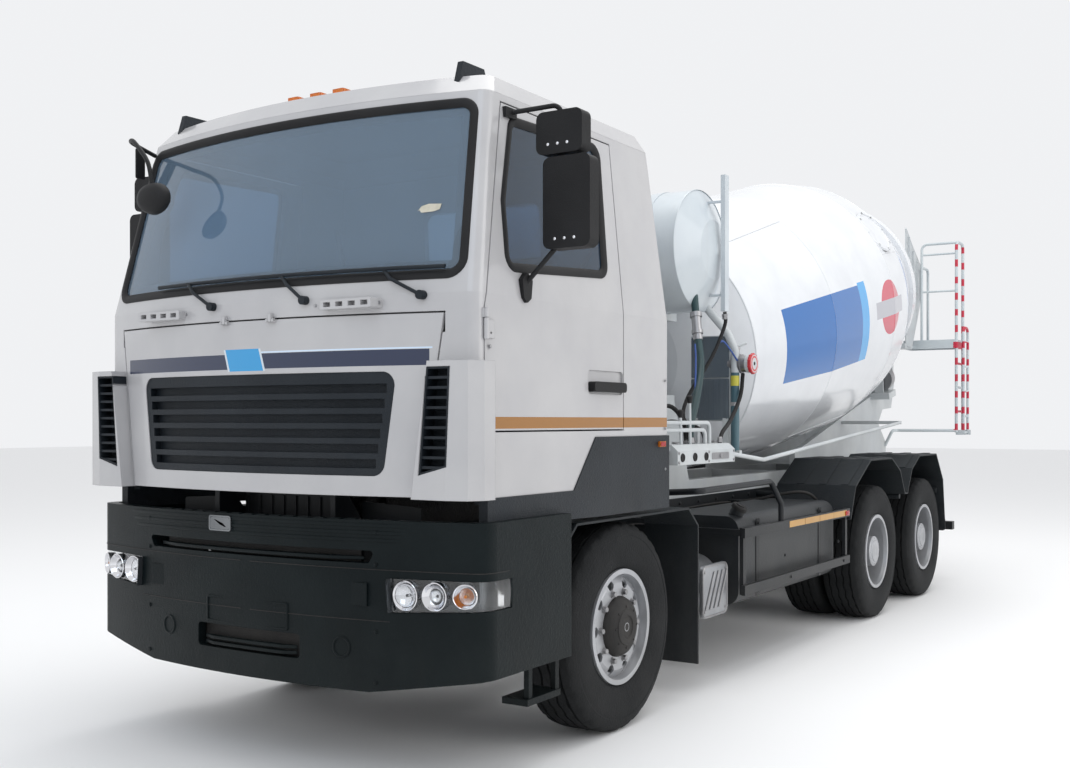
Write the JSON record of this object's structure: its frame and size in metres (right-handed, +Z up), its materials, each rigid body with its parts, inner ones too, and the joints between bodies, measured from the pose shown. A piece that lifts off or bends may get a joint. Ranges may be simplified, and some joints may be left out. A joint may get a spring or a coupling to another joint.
{
  "type": "concrete mixer truck",
  "caption": "Cab-over mixer truck on a twin rear bogie, with tilting cab, opening doors and front flap, turning inclined drum, swivelling tipping chute and fold-down ladder.",
  "frame": {"origin": "middle of the whole truck's box, at ground level", "axes": "+Y towards the rear, +Z up, +X towards the truck's left"},
  "size_m": [3.046, 8.9337, 3.7968],
  "materials": {
    "white_paint": "gloss off-white paint",
    "drum_paint": "gloss off-white paint, dusty",
    "chassis_paint": "satin black paint",
    "frame_paint": "off-white paint on the mixer's frame",
    "black_plastic": "grained black",
    "grey_plastic": "dark grey trim",
    "rubber_black": "soft black",
    "tyre_rubber": "worn black",
    "rim_silver": "silver paint",
    "steel": "worn steel",
    "alloy": "dull",
    "glass": "tinted",
    "lamp_lens": "clear lens",
    "lamp_red": "red lens",
    "seat_cloth": "woven cloth",
    "tank_paint": "off-white paint",
    "cast": "dark casting"
  },
  "bodies": {
    "chassis": {"chassis_frame": "chassis_paint", "engine": "cast", "front_axle": "cast", "rear_axles": "cast", "front_bumper": "black_plastic", "headlamps": "lamp_lens", "mudguards": "black_plastic", "side_guards": "frame_paint", "side_tanks": "alloy", "exhaust": "steel", "rear_bumper": "chassis_paint", "rear_lamps": "lamp_red", "mixer_frame": "frame_paint", "chute_stand": "frame_paint", "drum_gearbox": "cast", "water_tank": "tank_paint", "water_inlet": "frame_paint", "controls": "frame_paint", "hoses": "rubber_black", "hopper": "frame_paint", "ladder": "frame_paint"},
    "cab": {"cab_shell": "white_paint", "cab_roof": "white_paint", "cab_glass": "glass", "cab_trim": "black_plastic", "corner_fairings": "white_paint", "cab_lamps": "lamp_lens", "seats": "seat_cloth", "cab_interior": "grey_plastic"},
    "door_left": {"door_left": "white_paint", "door_glass_left": "glass", "mirror_left": "black_plastic"},
    "door_right": {"door_right": "white_paint", "door_glass_right": "glass", "mirror_right": "black_plastic"},
    "front_flap": {"front_flap": "white_paint", "grille": "black_plastic"},
    "knuckle_left": {"knuckle_left": "cast"},
    "knuckle_right": {"knuckle_right": "cast"},
    "wheel_front_left": {"tyre_front_left": "tyre_rubber", "rim_front_left": "rim_silver"},
    "wheel_front_right": {"tyre_front_right": "tyre_rubber", "rim_front_right": "rim_silver"},
    "drum": {"drum": "drum_paint"},
    "roller_left": {"roller_left": "steel"},
    "roller_right": {"roller_right": "steel"},
    "chute_arm": {"chute_arm": "frame_paint"},
    "chute": {"chute": "frame_paint"},
    "chute_cylinder": {"chute_cylinder": "chassis_paint"},
    "chute_rod": {"chute_rod": "steel"},
    "ladder_fold": {"ladder_fold": "frame_paint"},
    "wheels_rear1_left": {"tyres_rear1_left": "tyre_rubber", "rims_rear1_left": "rim_silver"},
    "wheels_rear1_right": {"tyres_rear1_right": "tyre_rubber", "rims_rear1_right": "rim_silver"},
    "wheels_rear2_left": {"tyres_rear2_left": "tyre_rubber", "rims_rear2_left": "rim_silver"},
    "wheels_rear2_right": {"tyres_rear2_right": "tyre_rubber", "rims_rear2_right": "rim_silver"}
  },
  "joints": [
    {"name": "steer_left", "type": "hinge", "parent": "chassis", "child": "knuckle_left", "pos_m": [0.86, -2.985, 0.538], "axis": [0, 0, 1], "range_deg": [-35, 35]},
    {"name": "spin_front_left", "type": "hinge", "parent": "knuckle_left", "child": "wheel_front_left", "pos_m": [1.01, -2.985, 0.538], "axis": [1, 0, 0], "continuous": true},
    {"name": "steer_right", "type": "hinge", "parent": "chassis", "child": "knuckle_right", "pos_m": [-0.86, -2.985, 0.538], "axis": [0, 0, 1], "range_deg": [-35, 35]},
    {"name": "spin_front_right", "type": "hinge", "parent": "knuckle_right", "child": "wheel_front_right", "pos_m": [-1.01, -2.985, 0.538], "axis": [1, 0, 0], "continuous": true},
    {"name": "spin_rear1_left", "type": "hinge", "parent": "chassis", "child": "wheels_rear1_left", "pos_m": [0.884, 1.145, 0.538], "axis": [1, 0, 0], "continuous": true},
    {"name": "spin_rear1_right", "type": "hinge", "parent": "chassis", "child": "wheels_rear1_right", "pos_m": [-0.884, 1.145, 0.538], "axis": [1, 0, 0], "continuous": true},
    {"name": "spin_rear2_left", "type": "hinge", "parent": "chassis", "child": "wheels_rear2_left", "pos_m": [0.884, 2.545, 0.538], "axis": [1, 0, 0], "continuous": true},
    {"name": "spin_rear2_right", "type": "hinge", "parent": "chassis", "child": "wheels_rear2_right", "pos_m": [-0.884, 2.545, 0.538], "axis": [1, 0, 0], "continuous": true},
    {"name": "cab_tilt", "type": "hinge", "parent": "chassis", "child": "cab", "pos_m": [0, -4.325, 1.35], "axis": [1, 0, 0], "range_deg": [0, 50]},
    {"name": "door_left", "type": "hinge", "parent": "cab", "child": "door_left", "pos_m": [1.202, -4.236, 1.85], "axis": [0, 0, -1], "range_deg": [0, 70]},
    {"name": "door_right", "type": "hinge", "parent": "cab", "child": "door_right", "pos_m": [-1.202, -4.236, 1.85], "axis": [0, 0, 1], "range_deg": [0, 70]},
    {"name": "front_flap", "type": "hinge", "parent": "cab", "child": "front_flap", "pos_m": [0, -4.455, 2.06], "axis": [-1, 0, 0], "range_deg": [0, 80]},
    {"name": "drum_spin", "type": "hinge", "parent": "chassis", "child": "drum", "pos_m": [0, 1.515, 2.54], "axis": [0, 0.9799, 0.1994], "continuous": true},
    {"name": "roller_left", "type": "hinge", "parent": "chassis", "child": "roller_left", "pos_m": [0.51365, 3.47093, 2.03004], "axis": [0, 0.9799, 0.1994], "continuous": true},
    {"name": "roller_right", "type": "hinge", "parent": "chassis", "child": "roller_right", "pos_m": [-0.51365, 3.47093, 2.03004], "axis": [0, 0.9799, 0.1994], "continuous": true},
    {"name": "chute_swivel", "type": "hinge", "parent": "chassis", "child": "chute_arm", "pos_m": [0, 4.115, 1.31], "axis": [0, 0, 1], "range_deg": [-110, 0]},
    {"name": "chute_tip", "type": "hinge", "parent": "chute_arm", "child": "chute", "pos_m": [0, 4.115, 1.5], "axis": [0, 1, 0], "range_deg": [-15, 25]},
    {"name": "chute_cylinder", "type": "hinge", "parent": "chute_arm", "child": "chute_cylinder", "pos_m": [-0.105, 4.115, 1.16], "axis": [0, 1, 0], "range_deg": [-17, 28]},
    {"name": "chute_rod", "type": "slide", "parent": "chute_cylinder", "child": "chute_rod", "axis": [-0.9986, 0, 0.0528], "range_m": [-0.09, 0.15]},
    {"name": "ladder_fold", "type": "hinge", "parent": "chassis", "child": "ladder_fold", "pos_m": [1.15, 4.3225, 1.48], "axis": [0, 1, 0], "range_deg": [0, 175]}
  ],
  "couplings": [
    {"joint": "steer_right", "follows": "steer_left", "ratio": 1},
    {"joint": "roller_left", "follows": "drum_spin", "ratio": -7.216},
    {"joint": "roller_right", "follows": "drum_spin", "ratio": -7.216},
    {"joint": "chute_cylinder", "follows": "chute_tip", "ratio": 1.1069},
    {"joint": "chute_rod", "follows": "chute_tip", "m_per_rad": 0.3323}
  ]
}
